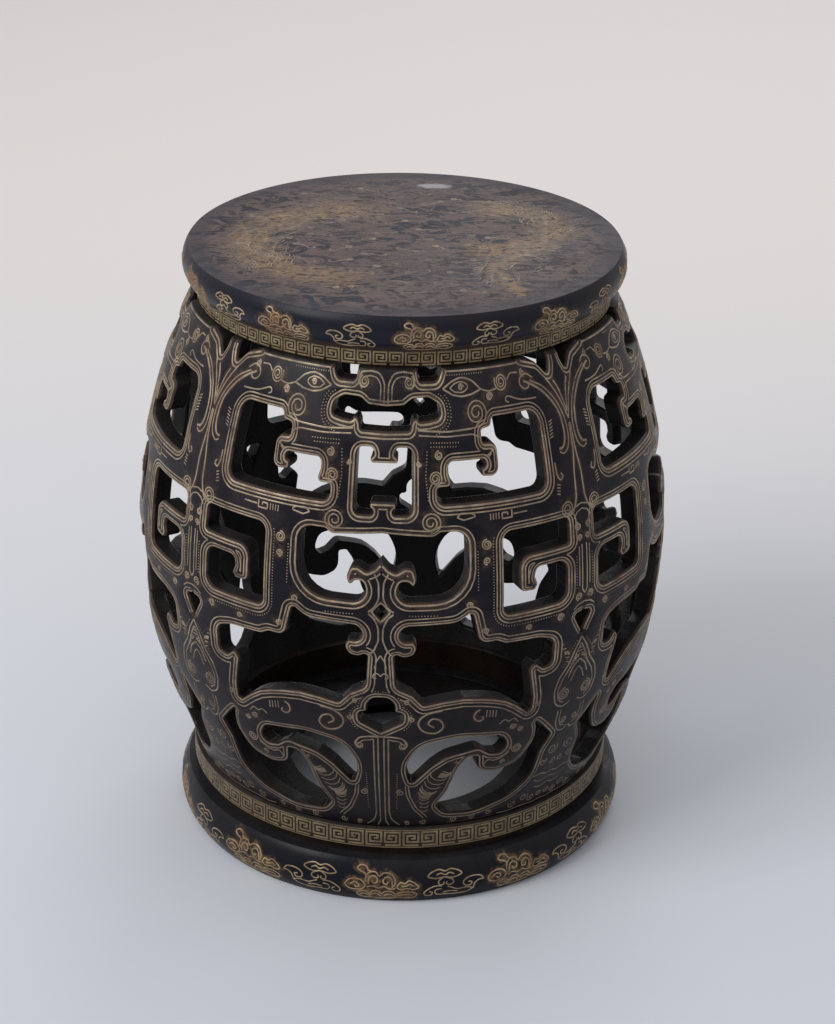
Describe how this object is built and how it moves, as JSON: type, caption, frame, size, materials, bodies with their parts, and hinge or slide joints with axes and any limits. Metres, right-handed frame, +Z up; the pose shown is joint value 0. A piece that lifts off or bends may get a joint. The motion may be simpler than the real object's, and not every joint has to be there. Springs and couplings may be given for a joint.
{
  "type": "drum stool",
  "caption": "Barrel-shaped openwork drum stool: lacquered wooden staves between key-pattern hoops on a round plinth, with a framed round seat on top.",
  "frame": {"origin": "centre of the plinth's underside, on the floor", "axes": "+Z up along the drum's axis; -Y is the middle of the wall panel that faces the camera"},
  "size_m": [0.406, 0.406, 0.47],
  "materials": {
    "seat_lacquer": "worn dark lacquer with traces of gilding",
    "gilt_band": "dull gilding on lacquered wood",
    "wall_lacquer": "semi-gloss blue-black lacquer with gilt lines",
    "plinth_lacquer": "semi-gloss blue-black lacquer with gilt clouds",
    "bare_wood": "bare softwood"
  },
  "bodies": {
    "root": {"seat_panel": "seat_lacquer", "seat_rim_front": "seat_lacquer", "seat_rim_right": "seat_lacquer", "seat_rim_back": "seat_lacquer", "seat_rim_left": "seat_lacquer", "upper_hoop_front_right": "gilt_band", "upper_hoop_back_right": "gilt_band", "upper_hoop_back_left": "gilt_band", "upper_hoop_front_left": "gilt_band", "lower_hoop_front_right": "gilt_band", "lower_hoop_back_right": "gilt_band", "lower_hoop_back_left": "gilt_band", "lower_hoop_front_left": "gilt_band", "stave_front_right": "wall_lacquer", "stave_right_front": "wall_lacquer", "stave_right_back": "wall_lacquer", "stave_back_right": "wall_lacquer", "stave_back_left": "wall_lacquer", "stave_left_back": "wall_lacquer", "stave_left_front": "wall_lacquer", "stave_front_left": "wall_lacquer", "plinth_front": "plinth_lacquer", "plinth_right": "plinth_lacquer", "plinth_back": "plinth_lacquer", "plinth_left": "plinth_lacquer", "base_board": "plinth_lacquer", "seat_batten_front": "bare_wood", "seat_batten_back": "bare_wood", "rim_tenons": "bare_wood", "upper_hoop_tenons": "bare_wood", "lower_hoop_tenons": "bare_wood", "plinth_tenons": "bare_wood", "rim_pegs": "bare_wood", "plinth_pegs": "bare_wood", "centre_seam_dowels": "bare_wood", "corner_seam_dowels": "bare_wood"}
  },
  "joints": []
}
